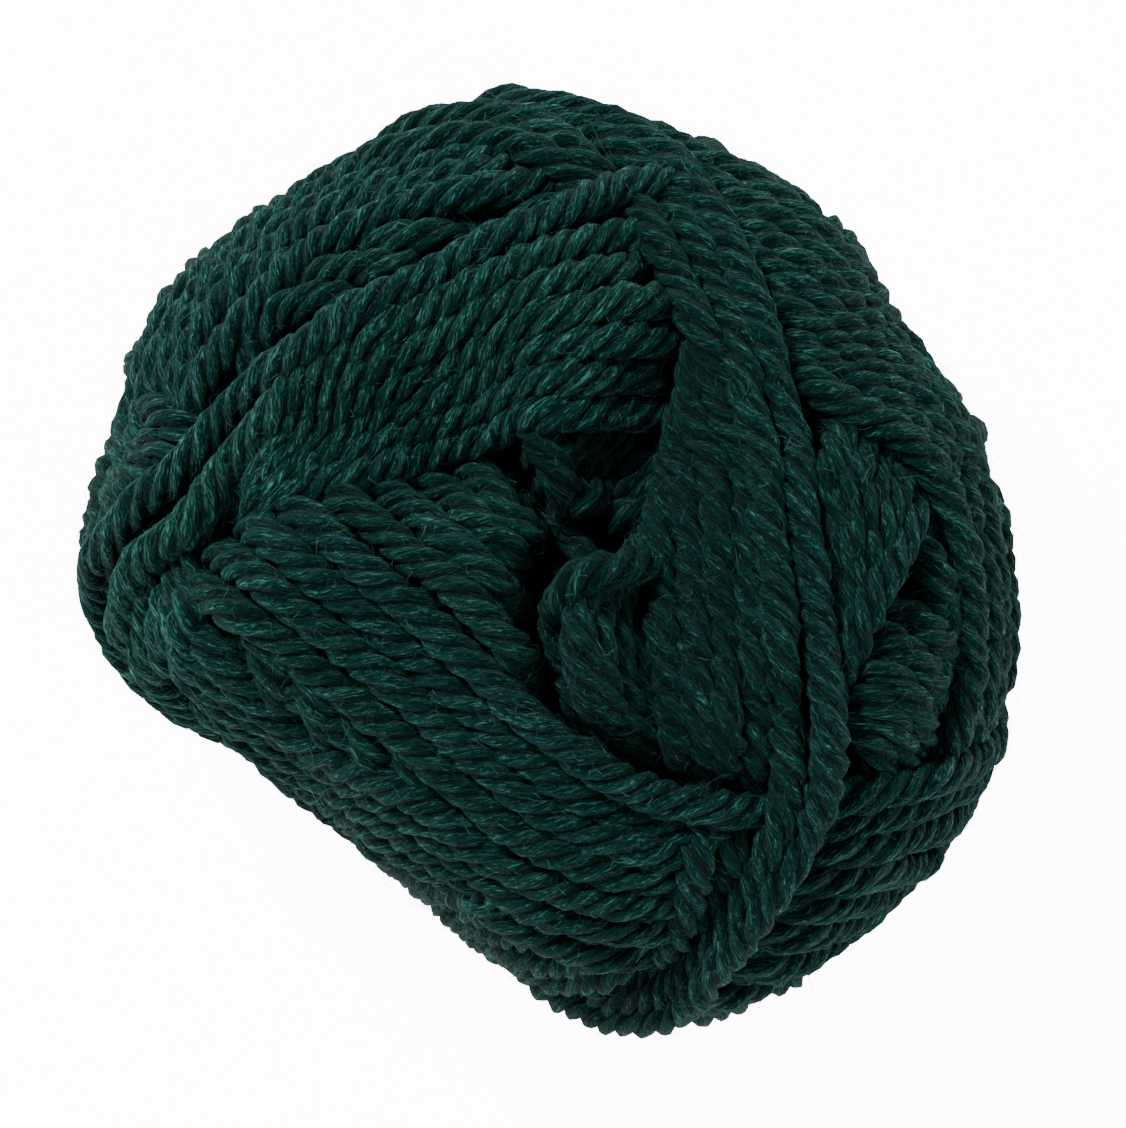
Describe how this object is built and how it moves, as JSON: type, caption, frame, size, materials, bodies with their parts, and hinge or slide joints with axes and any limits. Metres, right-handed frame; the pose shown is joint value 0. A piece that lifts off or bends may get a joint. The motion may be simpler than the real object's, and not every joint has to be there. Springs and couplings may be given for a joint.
{
  "type": "ball of yarn",
  "caption": "Wound ball of dark green plied yarn with an upright hollow and broad bands of turns crossing like a pinwheel, standing on a small flat.",
  "frame": {"origin": "middle of the bounding box at the level of the flat that the ball stands on", "axes": "+Z up along the hollow; seen from above, +X is to the right and +Y is up in the picture"},
  "size_m": [0.099, 0.1, 0.072],
  "materials": {
    "yarn": "soft matt plied yarn with a light halo of fibres"
  },
  "bodies": {
    "root": {"yarn_ball": "yarn"}
  },
  "joints": []
}
